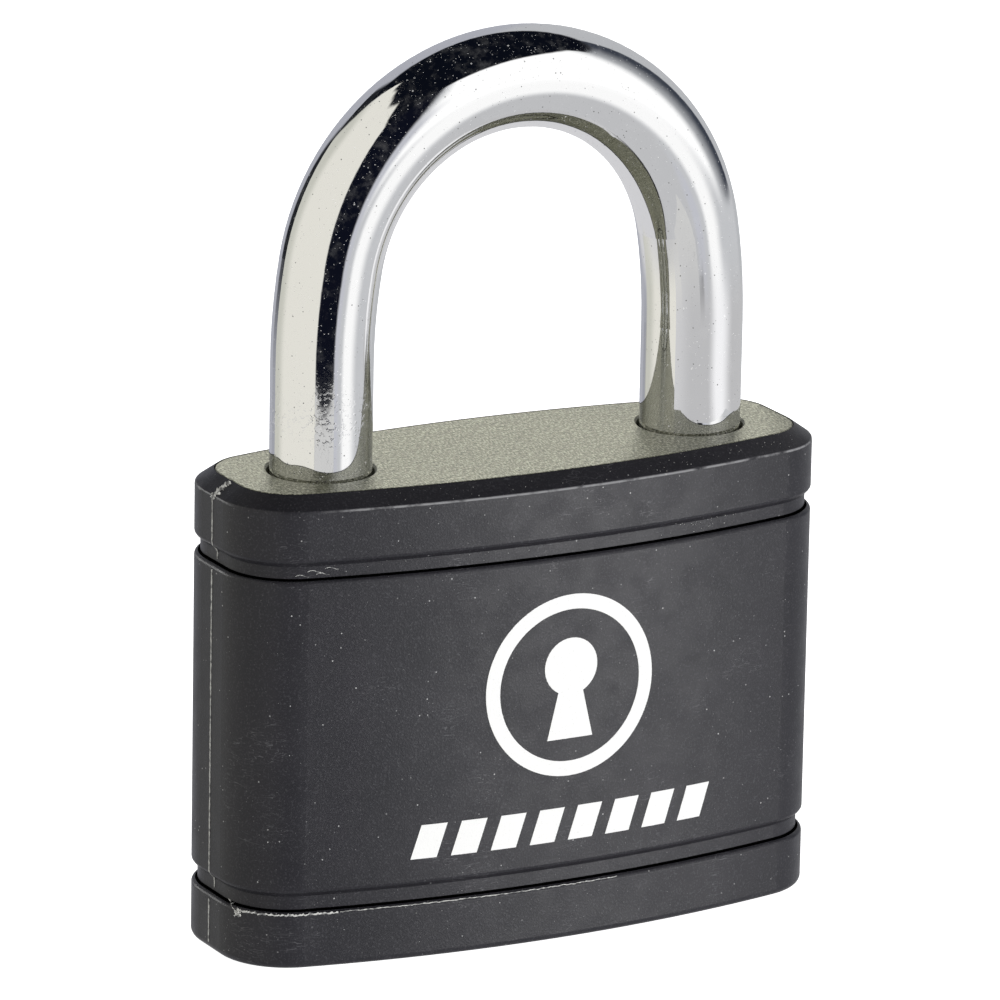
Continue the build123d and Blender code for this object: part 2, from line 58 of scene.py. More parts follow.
def band_box(name):
    """Lowest and highest corner of a CAD node in millimetres."""
    low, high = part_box(name)
    return low / MM, high / MM


ROD = mount_dims("shackle_heel_leg")["r_mm"]  # the bar's radius
LEG_X = band_box("shackle")[1].x - ROD
COLLAR_LOW, COLLAR_HIGH = band_box("top_collar")
PANEL_HIGH = band_box("middle_sleeve")[1]
CAP_LOW, CAP_HIGH = band_box("base_cap")
TOP_Z = COLLAR_HIGH.z
RIM_EDGE_Z = TOP_Z - 1.30  # where the rim's bevel starts
GAP = 0.22  # how far up the painted shade of the unlit gap below each band reaches
CORNER_INSET = 9  # from the left end to a point behind the rounded front corner


def surface(*names):
    """A tree for finding points on the outside of some CAD nodes."""
    points, faces = [], []
    for name in names:
        mesh = nodes[name].data
        start = len(points)
        points += [v.co / MM for v in mesh.vertices]
        faces += [[start + i for i in p.vertices] for p in mesh.polygons]
    return BVHTree.FromPolygons(points, faces)


JACKET = ("top_collar", "middle_sleeve", "base_cap")
jacket = surface(*JACKET)


def on_front(x, z, lift):
    """A point of the jacket's front, raised off it by lift. Millimetres."""
    hit, normal, _, _ = jacket.ray_cast(Vector((x, -100, z)), Vector((0, 1, 0)))
    return hit + normal * lift


def on_end(side):
    """A function that puts (y, z) on the jacket's left (-1) or right (1) end, raised by lift."""
    def place(y, z, lift):
        hit, _, _, _ = jacket.ray_cast(Vector((side * 100, y, z)), Vector((-side, 0, 0)))
        return hit + Vector((side * lift, 0, 0))
    return place


def corner_point(turn, z):
    """A point of the front left corner and the way out of it, from turn 0 (end) to 1 (front)."""
    angle = math.radians(90 * turn)
    centre = Vector((COLLAR_LOW.x + CORNER_INSET, 0, z))
    away = Vector((-math.cos(angle), -math.sin(angle), 0))
    hit, normal, _, _ = jacket.ray_cast(centre + away * 60, -away)
    return hit, normal


# ---------------------------------------------------------------- shader helpers
class Shader:
    """One node tree being built."""

    def __init__(self, tree):
        self.tree = tree

    def node(self, kind, inputs=None, **settings):
        """Adds a node, sets its settings, and links or sets its inputs."""
        made = self.tree.nodes.new(kind)
        for name, value in settings.items():
            setattr(made, name, value)
        for name, value in (inputs or {}).items():
            if isinstance(value, bpy.types.NodeSocket):
                self.tree.links.new(value, made.inputs[name])
            else:
                made.inputs[name].default_value = value
        return made

    def math(self, operation, a, b=0.0):
        """The result of one sum."""
        return self.node("ShaderNodeMath", {0: a, 1: b}, operation=operation).outputs[0]

    def step(self, value, start, end, low=0.0, high=1.0):
        """A smooth change from low to high as value goes from start to end."""
        inputs = {"Value": value, "From Min": start, "From Max": end,
                  "To Min": low, "To Max": high}
        made = self.node("ShaderNodeMapRange", inputs, interpolation_type="SMOOTHSTEP")
        return made.outputs[0]

    def window(self, value, low, high, soft_low, soft_high):
        """1 between low and high, fading to 0 over its own softness on each side."""
        rise = self.step(value, low - soft_low, low + soft_low)
        fall = self.step(value, high - soft_high, high + soft_high, 1.0, 0.0)
        return self.math("MULTIPLY", rise, fall)

    def mix(self, share, under, over):
        """The colour under, with a share of the colour over laid on it."""
        inputs = {"Factor": share, 6: under, 7: over}
        return self.node("ShaderNodeMix", inputs, data_type="RGBA").outputs[2]

    def millimetres(self, stretch=(1, 1, 1)):
        """The point in the piece's own frame, in millimetres, stretched along each axis."""
        point = self.node("ShaderNodeTexCoord").outputs["Object"]
        scale = tuple(s / MM for s in stretch)
        scaled = self.node("ShaderNodeVectorMath", {0: point, 1: scale}, operation="MULTIPLY")
        return scaled.outputs[0]

    def place_on(self, axis):
        """Where the point lies along X, Y or Z from the middle of the underside, in millimetres."""
        return self.node("ShaderNodeSeparateXYZ", {0: self.millimetres()}).outputs[axis]

    def noise(self, size, detail=2.0, stretch=(1, 1, 1), roughness=0.5):
        """Noise with features of about the given size in millimetres."""
        inputs = {"Vector": self.millimetres(stretch), "Scale": 1 / size, "Detail": detail,
                  "Roughness": roughness}
        return self.node("ShaderNodeTexNoise", inputs).outputs["Fac"]

    def specks(self, spacing, radius, share):
        """Round specks: a share of the cells of a three-dimensional mesh holds one each."""
        inputs = {"Vector": self.millimetres(), "Scale": 1 / spacing}
        cells = self.node("ShaderNodeTexVoronoi", inputs)
        inside = self.step(cells.outputs["Distance"], radius / spacing, 0.6 * radius / spacing)
        chosen = self.node("ShaderNodeSeparateColor", {0: cells.outputs["Color"]}).outputs[0]
        kept = self.math("LESS_THAN", chosen, share)
        return self.math("MULTIPLY", inside, kept)

    def scratches(self, size, width, stretch, cover):
        """Thin broken lines: where a stretched noise passes its middle value."""
        line = self.math("ABSOLUTE", self.math("SUBTRACT", self.noise(size, 1.0, stretch), 0.5))
        thin = self.step(line, width, 0.3 * width)
        patch = self.step(self.noise(3 * size, 2.0), 1 - cover, 1.08 - cover)
        return self.math("MULTIPLY", thin, patch)

    def bump(self, height, depth, before=None):
        """A bump of the given depth in millimetres, on top of an earlier one."""
        inputs = {"Height": height, "Distance": depth * MM, "Strength": 1.0}
        if before is not None:
            inputs["Normal"] = before
        return self.node("ShaderNodeBump", inputs).outputs[0]


def new_material(name):
    """An empty material with one principled shader. Returns (material, shader, principled)."""
    material = bpy.data.materials.new(name)
    material.use_nodes = True
    shader = Shader(material.node_tree)
    principled = material.node_tree.nodes["Principled BSDF"]
    return material, shader, principled


def connect(shader, principled, **sockets):
    """Links or sets the principled shader's sockets by name, with _ for a space."""
    for name, value in sockets.items():
        socket = principled.inputs[name.replace("_", " ")]
        if isinstance(value, bpy.types.NodeSocket):
            shader.tree.links.new(value, socket)
        else:
            socket.default_value = value


# ---------------------------------------------------------------- materials
def jacket_plastic(name, shaded_below, shaded_above):
    """Black moulded plastic with grain, dust, scratches and a painted highlight along the rim's
    edge.

    Painted shade: it is painted pitch dark in the gaps, below the first height and above the
    second, and darker on the rim's bevel.
    """
    material, s, principled = new_material(name)
    height = s.place_on("Z")
    cloud = s.noise(7.0, 4.0)
    grain = s.noise(0.20, 3.0, roughness=0.6)
    colour = s.mix(cloud, (0.013, 0.013, 0.016, 1), (0.025, 0.024, 0.029, 1))
    colour = s.mix(s.step(grain, 0.50, 0.72, 0.0, 0.5), colour, (0.062, 0.061, 0.069, 1))
    fine_dust = s.math("MULTIPLY", s.specks(0.42, 0.05, 0.34), 0.40)
    dust = s.math("MAXIMUM", s.specks(0.8, 0.09, 0.22), fine_dust)
    dust = s.math("MULTIPLY", dust, s.step(s.noise(5.0, 3.0), 0.42, 0.60, 0.35, 1.0))
    colour = s.mix(s.math("MULTIPLY", dust, 0.8), colour, (0.50, 0.50, 0.50, 1))
    scratch = s.scratches(2.2, 0.012, (1, 1, 6), 0.42)
    colour = s.mix(s.math("MULTIPLY", scratch, 0.35), colour, (0.16, 0.16, 0.17, 1))
    # painted highlight along the rim's rounded lower edge, broken up by noise and kept to the part
    # past the front corner
    rim_highlight = s.window(height, RIM_EDGE_Z - 0.16, RIM_EDGE_Z + 0.02, 0.05, 0.05)
    rim_highlight = s.math("MULTIPLY", rim_highlight, s.step(s.noise(1.6, 4.0), 0.30, 0.56))
    past_corner = s.step(s.place_on("X"), COLLAR_LOW.x + 6, COLLAR_LOW.x + 12)
    rim_highlight = s.math("MULTIPLY", rim_highlight, past_corner)
    colour = s.mix(s.math("MULTIPLY", rim_highlight, 0.65), colour, (0.32, 0.32, 0.33, 1))
    # painted shade: the rim's upward bevel a quarter darker and less glossy
    bevel = s.step(height, RIM_EDGE_Z + 0.02, RIM_EDGE_Z + 0.12)
    # painted shade: near black with no gloss in the gaps between the bands
    gap = s.math("MAXIMUM", s.step(height, shaded_below + GAP, shaded_below + 0.8 * GAP),
                 s.step(height, shaded_above - 0.02, shaded_above - 0.005))
    # all the painted shade of gaps and bevel, laid on as near black
    dark = s.math("MAXIMUM", gap, s.math("MULTIPLY", bevel, 0.25))
    colour = s.mix(dark, colour, (0.001, 0.001, 0.001, 1))
    # gloss taken away where the shade is painted
    gloss = s.step(s.math("MAXIMUM", gap, s.math("MULTIPLY", bevel, 0.4)), 0.0, 1.0, 0.26, 0.0)
    rough = s.step(s.noise(2.5, 4.0), 0.35, 0.65, 0.31, 0.39)
    normal = s.bump(s.noise(6.0, 2.0), 0.05)
    normal = s.bump(grain, 0.020, normal)
    connect(s, principled, Base_Color=colour, Roughness=rough, Normal=normal,
            Specular_IOR_Level=gloss)
    return material


def body_paint():
    """Grey-green textured paint with small light and dark grains."""
    material, s, principled = new_material("body_paint")
    grain = s.noise(0.17, 3.0, (1, 0.35, 1), 0.7)
    colour = s.mix(s.noise(7.0, 3.0), (0.17, 0.172, 0.120, 1), (0.225, 0.228, 0.162, 1))
    colour = s.mix(s.step(grain, 0.53, 0.62, 0.0, 0.85), colour, (0.56, 0.56, 0.45, 1))
    colour = s.mix(s.step(grain, 0.46, 0.38, 0.0, 0.9), colour, (0.025, 0.025, 0.018, 1))
    colour = s.mix(s.specks(0.6, 0.08, 0.15), colour, (0.04, 0.04, 0.035, 1))
    normal = s.bump(grain, 0.05)
    connect(s, principled, Base_Color=colour, Roughness=0.42, Normal=normal, Metallic=0.35)
    return material


def shackle_chrome():
    """Bright chrome with dark pits, clustered dust, haze, fine scratches and a ragged toe leg."""
    material, s, principled = new_material("shackle_chrome")
    foot = s.window(s.place_on("Z"), TOP_Z + 4, TOP_Z + 8, 1.5, 2.5)
    foot = s.math("MULTIPLY", foot, s.step(s.place_on("X"), 0, -5))
    ragged = s.math("MULTIPLY", foot, s.step(s.noise(0.45, 3.0), 0.54, 0.64))
    pits = s.math("MAXIMUM", s.specks(0.62, 0.075, 0.30), s.specks(0.33, 0.035, 0.35))
    colour = s.mix(s.math("MULTIPLY", pits, 0.8), (0.93, 0.93, 0.93, 1), (0.10, 0.10, 0.10, 1))
    cluster = s.step(s.noise(2.2, 3.0), 0.42, 0.58, 0.25, 1.0)
    dust = s.math("MAXIMUM", s.specks(0.30, 0.055, 0.42), s.specks(0.85, 0.11, 0.40))
    dust = s.math("MULTIPLY", dust, cluster)
    haze = s.step(s.noise(1.3, 5.0, roughness=0.65), 0.48, 0.74, 0.0, 0.05)
    scratch = s.scratches(1.6, 0.010, (3, 3, 1), 0.5)
    rough = s.math("ADD", s.step(s.noise(3.0, 3.0), 0.3, 0.7, 0.02, 0.055),
                   s.math("MULTIPLY", s.math("MAXIMUM", scratch, ragged), 0.12))
    film = s.math("ADD", haze, s.math("MULTIPLY", ragged, 0.03))
    dull = s.math("MAXIMUM", s.math("MULTIPLY", dust, 0.7), film)
    metallic = s.math("SUBTRACT", 1.0, dull)
    normal = s.bump(s.noise(2.4, 2.0), 0.005)
    normal = s.bump(ragged, 0.010, normal)
    normal = s.bump(pits, -0.02, normal)
    connect(s, principled, Base_Color=colour, Metallic=metallic, Roughness=rough, Normal=normal)
    return material


def machined_metal(name, dark, light, roughness, stretch, grain=0.25, depth=0.006):
    """Bare metal with tool marks along one direction and a little staining."""
    material, s, principled = new_material(name)
    marks = s.noise(grain, 3.0, stretch)
    stain = s.noise(2.5, 3.0)
    colour = s.mix(marks, (*dark, 1), (*light, 1))
    colour = s.mix(s.step(stain, 0.55, 0.75, 0.0, 0.4), colour, (*[0.6 * c for c in dark], 1))
    rough = s.step(stain, 0.3, 0.7, roughness, roughness + 0.12)
    normal = s.bump(marks, depth)
    connect(s, principled, Base_Color=colour, Metallic=1.0, Roughness=rough, Normal=normal)
    return material


def painted_mark():
    """White pad-printed ink, slightly thin and speckled where the grain shows through."""
    material, s, principled = new_material("front_print")
    grain = s.noise(0.16, 3.0)
    thin = s.step(grain, 0.60, 0.75, 0.0, 0.5)
    colour = s.mix(thin, (0.95, 0.95, 0.94, 1), (0.72, 0.72, 0.71, 1))
    connect(s, principled, Base_Color=colour, Roughness=0.5, Normal=s.bump(grain, 0.012))
    return material


def pale_plastic():
    """Torn or scuffed plastic, stress-whitened."""
    material, s, principled = new_material("pale_flash")
    patch = s.noise(0.5, 3.0)
    colour = s.mix(s.step(patch, 0.34, 0.56), (0.17, 0.17, 0.175, 1), (0.62, 0.62, 0.60, 1))
    connect(s, principled, Base_Color=colour, Roughness=0.6, Normal=s.bump(s.noise(0.1, 2.0), 0.02))
    return material


def floor_surface():
    """White glowing studio floor with a faint mottle, clear when looked at from below."""
    material, s, principled = new_material("studio_floor")
    colour = s.mix(s.noise(60.0, 2.0), (0.84, 0.84, 0.84, 1), (0.88, 0.88, 0.88, 1))
    connect(s, principled, Base_Color=colour, Roughness=0.9, Emission_Color=(1, 1, 1, 1),
            Emission_Strength=1.0)
    below = s.node("ShaderNodeNewGeometry").outputs["Backfacing"]
    clear = s.node("ShaderNodeBsdfTransparent").outputs[0]
    face = s.node("ShaderNodeMixShader", {0: below, 1: principled.outputs[0], 2: clear}).outputs[0]
    s.tree.links.new(face, s.tree.nodes["Material Output"].inputs["Surface"])
    return material


TURNED = (1, 1, 8)  # tool marks round the Z axis
DRAWN = (6, 6, 0.6)  # marks along the Z axis
STAMPED = (1, 8, 1)
EVEN = (1, 1, 1)
METALS = {
    "bare_steel": ((0.40, 0.40, 0.41), (0.58, 0.58, 0.59), 0.30, TURNED),
    "screw_steel": ((0.07, 0.07, 0.08), (0.16, 0.16, 0.17), 0.38, TURNED),
    "spring_steel": ((0.34, 0.34, 0.36), (0.52, 0.52, 0.53), 0.32, DRAWN),
    "ball_steel": ((0.60, 0.60, 0.62), (0.76, 0.76, 0.77), 0.10, EVEN, 0.6, 0.001),
    "cam_steel": ((0.32, 0.31, 0.30), (0.52, 0.51, 0.50), 0.42, EVEN, 0.12, 0.02),
    "hardened_steel": ((0.27, 0.27, 0.29), (0.42, 0.42, 0.44), 0.33, TURNED),
    "cylinder_brass": ((0.56, 0.40, 0.17), (0.76, 0.58, 0.29), 0.28, TURNED),
    "core_brass": ((0.60, 0.45, 0.21), (0.80, 0.64, 0.34), 0.26, TURNED),
    "disc_brass": ((0.58, 0.42, 0.19), (0.78, 0.61, 0.32), 0.33, STAMPED),
}
MATERIALS = {name: machined_metal(name, *look) for name, look in METALS.items()}
MATERIALS["body_paint"] = body_paint()
MATERIALS["shackle_chrome"] = shackle_chrome()
PALE = pale_plastic()

NOWHERE = 1000.0
# each band's plastic differs only in where its painted gap shade lies
BANDS = {
    "top_collar": jacket_plastic("collar_plastic", PANEL_HIGH.z, NOWHERE),
    "middle_sleeve": jacket_plastic("panel_plastic", CAP_HIGH.z, PANEL_HIGH.z),
    "base_cap": jacket_plastic("cap_plastic", -NOWHERE, CAP_HIGH.z),
}


def paint_nodes():
    """Gives every CAD node its slot's material; each jacket band has its own plastic."""
    for part in record["subparts"]:
        name = part["node"]
        mesh = nodes[name].data
        mesh.materials.clear()
        mesh.materials.append(BANDS[name] if name in BANDS else MATERIALS[part["material_slot"]])


# ---------------------------------------------------------------- pieces laid on the jacket
def quilt(name, rows, place, thickness, material, body="case"):
    """A thin closed skin: a grid of (u, v) points laid on a surface, thickness high above it."""
    across = len(rows[0])
    low = [place(u, v, -0.01) for row in rows for u, v in row]
    high = [place(u, v, thickness) for row in rows for u, v in row]
    count = len(low)
    faces = []
    for r in range(len(rows) - 1):
        for c in range(across - 1):
            a = r * across + c
            faces.append((a + count, a + 1 + count, a + 1 + across + count, a + across + count))
            faces.append((a, a + across, a + 1 + across, a + 1))
    rim = list(range(across))
    rim += [r * across + across - 1 for r in range(1, len(rows))]
    rim += [(len(rows) - 1) * across + c for c in range(across - 2, -1, -1)]
    rim += [r * across for r in range(len(rows) - 2, 0, -1)]
    for i, a in enumerate(rim):
        b = rim[(i + 1) % len(rim)]
        faces.append((a, b, b + count, a + count))
    mesh = bpy.data.meshes.new(name)
    mesh.from_pydata([p * MM for p in low + high], [], faces)
    mesh.validate()
    piece = bpy.data.objects.new(name, mesh)
    bpy.context.scene.collection.objects.link(piece)
    mesh.materials.append(material)
    bpy.context.view_layer.objects.active = piece
    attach(piece, body)


def ring_rows(x, z, inner, outer, pieces=90):
    """Rows of points for a flat ring, starting straight up."""
    rows = []
    for i in range(pieces + 1):
        a = math.radians(360 * i / pieces)
        radii = (inner, (inner + outer) / 2, outer)
        rows.append([(x + r * math.sin(a), z + r * math.cos(a)) for r in radii])
    return rows


def spans_rows(spans, columns=6):
    """Rows of points for a shape given as (z, left x, right x) from bottom to top."""
    return [[(left + (right - left) * c / columns, z) for c in range(columns + 1)]
            for z, left, right in spans]


MARK_X, MARK_Z = 1.0, 26.0
MARK_RADIUS = 9.2
INK = 0.03
BAR_LOW_Z, BAR_HIGH_Z = 10.2, 13.6


def front_print():
    """A keyhole in a ring above a row of slanted bars, in white on the main panel."""
    ink = painted_mark()
    ring = ring_rows(MARK_X, MARK_Z, MARK_RADIUS - 1.5, MARK_RADIUS)
    quilt("print_ring", ring, on_front, INK, ink)
    head, head_z, foot = 2.9, MARK_Z + 1.9, MARK_Z - 5.4
    spans = [(foot, MARK_X - 2.5, MARK_X + 2.5)]
    for i in range(17):
        a = math.radians(152 * (1 - i / 16))
        half = head * math.sin(a)
        spans.append((head_z + head * math.cos(a), MARK_X - half, MARK_X + half))
    quilt("print_keyhole", spans_rows(spans), on_front, INK, ink)
    bars, pitch, width, slant = 8, 4.2, 2.7, 1.1
    for i in range(bars):
        left = MARK_X + (i - bars / 2) * pitch
        spans = [(BAR_LOW_Z, left, left + width),
                 (BAR_HIGH_Z, left + slant, left + slant + width)]
        quilt(f"print_bar_{i + 1}", spans_rows(spans), on_front, INK, ink)


def parting_line(name, side, low, high):
    """The moulding seam on one end of one band: a low rib that comes and goes."""
    rows = []
    count = int((high - low) / 0.35)
    for i in range(count + 1):
        z = low + (high - low) * i / count
        half = 0.09 * random.uniform(0.6, 1.2)
        drift = random.uniform(-0.02, 0.02)
        rows.append([(drift - half, z), (drift, z), (drift + half, z)])
    quilt(name, rows, on_end(side), 0.05, PALE)


def parting_lines():
    """The seam down both ends of the three bands."""
    bands = {"cap": (CAP_LOW.z + 0.8, CAP_HIGH.z - 0.5),
             "panel": (CAP_HIGH.z + 0.5, PANEL_HIGH.z - 0.5),
             "collar": (PANEL_HIGH.z + 0.5, RIM_EDGE_Z - 0.1)}
    for side, where in ((-1, "left"), (1, "right")):
        for band, (low, high) in bands.items():
            parting_line(f"seam_{where}_{band}", side, low, high)


def crumbs(name, spots, size):
    """A cluster of small irregular shards of torn plastic, one at each point. Millimetres."""
    points, faces = [], []
    for spot in spots:
        start = len(points)
        for way in ((1, 0, 0), (0, 1, 0), (-1, 0, 0), (0, -1, 0), (0, 0, 1), (0, 0, -1)):
            reach = size * random.uniform(0.35, 1.3)
            points.append((spot + Vector(way) * reach) * MM)
        for a, b in ((0, 1), (1, 2), (2, 3), (3, 0)):
            faces += [(start + a, start + b, start + 4), (start + b, start + a, start + 5)]
    mesh = bpy.data.meshes.new(name)
    mesh.from_pydata(points, [], faces)
    mesh.materials.append(PALE)
    piece = bpy.data.objects.new(name, mesh)
    bpy.context.scene.collection.objects.link(piece)
    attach(piece, "case")


def ragged_strip(name, path, half, proud):
    """An irregular raised line of torn plastic along (point, way out) pairs. Millimetres."""
    rows = []
    for i in range(len(path)):
        low, high = half * random.uniform(0.3, 1.3), half * random.uniform(0.3, 1.3)
        rows.append([(i, -low), (i, 0.0), (i, high)])

    def place(step, up, lift):
        point, way_out = path[step]
        return point + Vector((0, 0, up)) + way_out * lift

    quilt(name, rows, place, proud, PALE)


LIP_DROP = 0.24
KNOT_TURN = 0.34  # where on the corner the torn lip starts, in a knot


def cap_lip():
    """The torn lip on the base cap's upper edge: one path round the corner, one on the front."""
    z = CAP_HIGH.z - LIP_DROP
    corner = [corner_point(KNOT_TURN + (1 - KNOT_TURN) * i / 70, z + random.uniform(-0.04, 0.05))
              for i in range(71)]
    front = []
    for i in range(1, 120):
        x = corner[-1][0].x + 0.25 * i
        point = on_front(x, z + 0.06 + random.uniform(-0.03, 0.03), 0)
        front.append((point, Vector((0, -1, 0))))
    return corner, front


def torn_edges():
    """Moulding flash: a chipped burr on top of the left seam, a torn lip on the base cap."""
    burr = []
    for i in range(30):
        up = i / 29
        y = -0.15 - 0.25 * up + random.gauss(0, 0.22 * (1 - 0.4 * up))
        z = RIM_EDGE_Z - 0.2 + 1.3 * up + random.uniform(-0.08, 0.08)
        burr.append(on_end(-1)(y, z, 0.03))
    crumbs("seam_burr", burr, 0.24)
    corner, front = cap_lip()
    ragged_strip("cap_flash_corner", corner, 0.10, 0.10)
    ragged_strip("cap_flash_front", front, 0.045, 0.04)
    knot = [corner_point(KNOT_TURN + random.uniform(-0.025, 0.03),
                         CAP_HIGH.z - random.uniform(0.1, 0.9))[0] for _ in range(22)]
    crumbs("cap_flash_knot", knot, 0.15)
    tear = [corner_point(0.22 + 0.12 * i / 20, CAP_HIGH.z + 0.25 - 0.7 * i / 20) for i in range(21)]
    ragged_strip("cap_tear", tear, 0.05, 0.05)


def sprinkle(name, count, across, up, size):
    """Loose crumbs on the jacket's front, between two x and two z."""
    spots = [on_front(random.uniform(*across), random.uniform(*up), 0.01) for _ in range(count)]
    crumbs(name, spots, size)


def groove_marks():
    """Scuffs in the upper groove's left end; crumbs in it, on the rim's bevel and the base cap."""
    for i, (turn, up) in enumerate(((0.70, 0.45), (0.78, 0.85), (0.84, 0.55), (0.90, 1.05))):
        path = [corner_point(turn + 0.09 * k / 12,
                             PANEL_HIGH.z + up + 0.12 * math.sin(k / 2.5)) for k in range(13)]
        ragged_strip(f"groove_scuff_{i + 1}", path, 0.028, 0.02)
    groove = (PANEL_HIGH.z + 0.25, PANEL_HIGH.z + 1.6)
    sprinkle("groove_crumbs", 34, (LEG_X - 8, LEG_X), groove, 0.055)
    sprinkle("groove_crumbs_few", 14, (-LEG_X, LEG_X - 8), groove, 0.045)
    bevel = (RIM_EDGE_Z + 0.1, TOP_Z - 0.1)
    sprinkle("rim_crumbs", 34, (LEG_X - 12, LEG_X + 8), bevel, 0.05)
    sprinkle("rim_crumbs_few", 22, (-LEG_X, LEG_X - 12), bevel, 0.045)
    sprinkle("cap_crumbs", 18, (-LEG_X + 4, -LEG_X + 11), (1.5, 6.5), 0.05)


# ---------------------------------------------------------------- studio
CAMERA_AZIMUTH = math.radians(-28.447)
CAMERA_RISE = math.radians(15.944)
CAMERA_ROLL = math.radians(1.053)
CAMERA_DISTANCE = 0.855465
CAMERA_SIDESTEP = (0.000646, 0.003226)
CAMERA_TARGET = Vector((0, 0, 0.045))
CAMERA_LENS = 315.666
LIGHTS_AIM = Vector((0, 0, 0.04))


def studio_world():
    """A soft studio seen by direction: soft-edged panels between a pale sweep and dark ceiling."""
    world = bpy.data.worlds.new("studio")
    bpy.context.scene.world = world
    world.use_nodes = True
    s = Shader(world.node_tree)
    view = s.node("ShaderNodeTexCoord").outputs["Generated"]
    xyz = s.node("ShaderNodeSeparateXYZ", {0: view}).outputs
    turn = s.math("ARCTAN2", xyz["X"], s.math("MULTIPLY", xyz["Y"], -1.0))
    turn = s.math("MULTIPLY", turn, math.degrees(1))
    rise = s.math("MULTIPLY", s.math("ARCSINE", xyz["Z"]), math.degrees(1))
    behind = s.math("ABSOLUTE", turn)
    colour = s.mix(s.step(rise, -24, -14), (0.54, 0.545, 0.56, 1), (0.49, 0.50, 0.52, 1))

    def lay(tone, across, up, turned=turn):
        """Lays a soft-edged panel of one tone between two turns and two rises, in degrees."""
        nonlocal colour
        share = s.math("MULTIPLY", s.window(turned, *across), s.window(rise, *up))
        colour = s.mix(share, colour, (*tone, 1))

    # the back wall and the pale floor behind the lock
    lay((0.42, 0.43, 0.48), (150, 190, 4, 1), (-20, 95, 3, 1), behind)
    lay((0.66, 0.66, 0.68), (105, 190, 8, 1), (-95, -19, 1, 2), behind)
    # the cream panel on the left, greyer towards the back
    lay((0.80, 0.785, 0.72), (-152, -41, 1.5, 1.5), (-24, 95, 5, 1))
    lay((0.58, 0.58, 0.52), (-156, -130, 4, 12), (-24, 45, 5, 8))
    # the grey sweep on the right, its bright patch, the white panel above and its dim left edge
    lay((0.57, 0.58, 0.60), (-3, 112, 3, 8), (-30, 0, 5, 4))
    lay((1.02, 1.02, 1.02), (19, 46, 5, 11), (-27, 0, 6, 6))
    lay((1.10, 1.10, 1.10), (4, 70, 4, 9), (-4, 95, 5, 1))
    lay((0.55, 0.56, 0.61), (-6, 9, 4, 4), (-30, 20, 5, 8))
    # the dark gap between cream and white, and two dark strips further round
    lay((0.004, 0.005, 0.011), (-41, 0, 1.2, 2.5), (-17.5, 95, 1, 1))
    lay((0.045, 0.052, 0.070), (84, 111, 19, 2), (-5, 95, 2, 1))
    lay((0.015, 0.016, 0.020), (-169, -153, 3, 1.5), (-12, 95, 7, 1))
    # how low the dark ceiling comes down at each turn
    ceiling = s.step(turn, -38, -60, 47, 63.5)
    ceiling = s.math("ADD", ceiling, s.step(turn, -80, -98, 0, 2.5))
    ceiling = s.math("ADD", ceiling, s.step(turn, -122, -140, 0, -4))
    ceiling = s.math("ADD", ceiling, s.step(turn, 66, 76, 0, -4.5))
    ceiling = s.math("ADD", ceiling, s.step(turn, -148, -156, 0, -20))
    above = s.step(s.math("SUBTRACT", rise, ceiling), -1.5, 1.5)
    colour = s.mix(above, colour, (0.003, 0.004, 0.008, 1))
    background = world.node_tree.nodes["Background"]
    world.node_tree.links.new(colour, background.inputs["Color"])
    background.inputs["Strength"].default_value = 1.0


def softbox(name, place, width, height, power, only=None, tint=(1, 1, 1)):
    """An area light with no reflection of its own. With only, it lights those nodes, gloss too."""
    light = bpy.data.lights.new(name, "AREA")
    light.shape = "RECTANGLE"
    light.size, light.size_y = width, height
    light.energy = power
    light.color = tint
    lamp = bpy.data.objects.new(name, light)
    lamp.location = place
    lamp.rotation_mode = "QUATERNION"
    lamp.rotation_quaternion = (LIGHTS_AIM - Vector(place)).to_track_quat("-Z", "Y")
    lamp.visible_glossy = only is not None
    bpy.context.scene.collection.objects.link(lamp)
    if only:
        lit = bpy.data.collections.new(f"lit_by_{name}")
        for node in only:
            lit.objects.link(nodes[node])
        lamp.light_linking.receiver_collection = lit


def flat_piece(name, corners, material):
    """A single flat face that stands in the studio."""
    mesh = bpy.data.meshes.new(name)
    mesh.from_pydata([Vector(c) for c in corners], [], [list(range(len(corners)))])
    piece = bpy.data.objects.new(name, mesh)
    mesh.materials.append(material)
    bpy.context.scene.collection.objects.link(piece)
    return piece


def hide_but_in_gloss(card):
    """Makes a studio card show in reflections only."""
    card.visible_camera = False
    card.visible_diffuse = False
    card.visible_shadow = False
    card.visible_transmission = False


CARD_RADIUS = 14.0
CARD_RISE = 18
CARD_HEIGHTS = (-0.1, 3.0, CARD_RISE)
CARD_FROM, CARD_TO = -66, 130  # the directions seen in the leg, in degrees
PLATE_FRONT, PLATE_END = 9.6, 9.4  # from the leg's middle to the painted plate's edges


def card_turn(seen):
    """The turn, in radians, at which a round card shows in the leg in the direction seen."""
    seen = math.radians(seen)
    bare = (seen + CAMERA_AZIMUTH) / 2
    start = Vector((ROD * math.sin(bare), -ROD * math.cos(bare)))
    ray = Vector((math.sin(seen), -math.cos(seen)))
    along = start.dot(ray)
    hit = start + ray * (math.sqrt(along ** 2 - ROD ** 2 + CARD_RADIUS ** 2) - along)
    return math.atan2(hit.x, -hit.y)


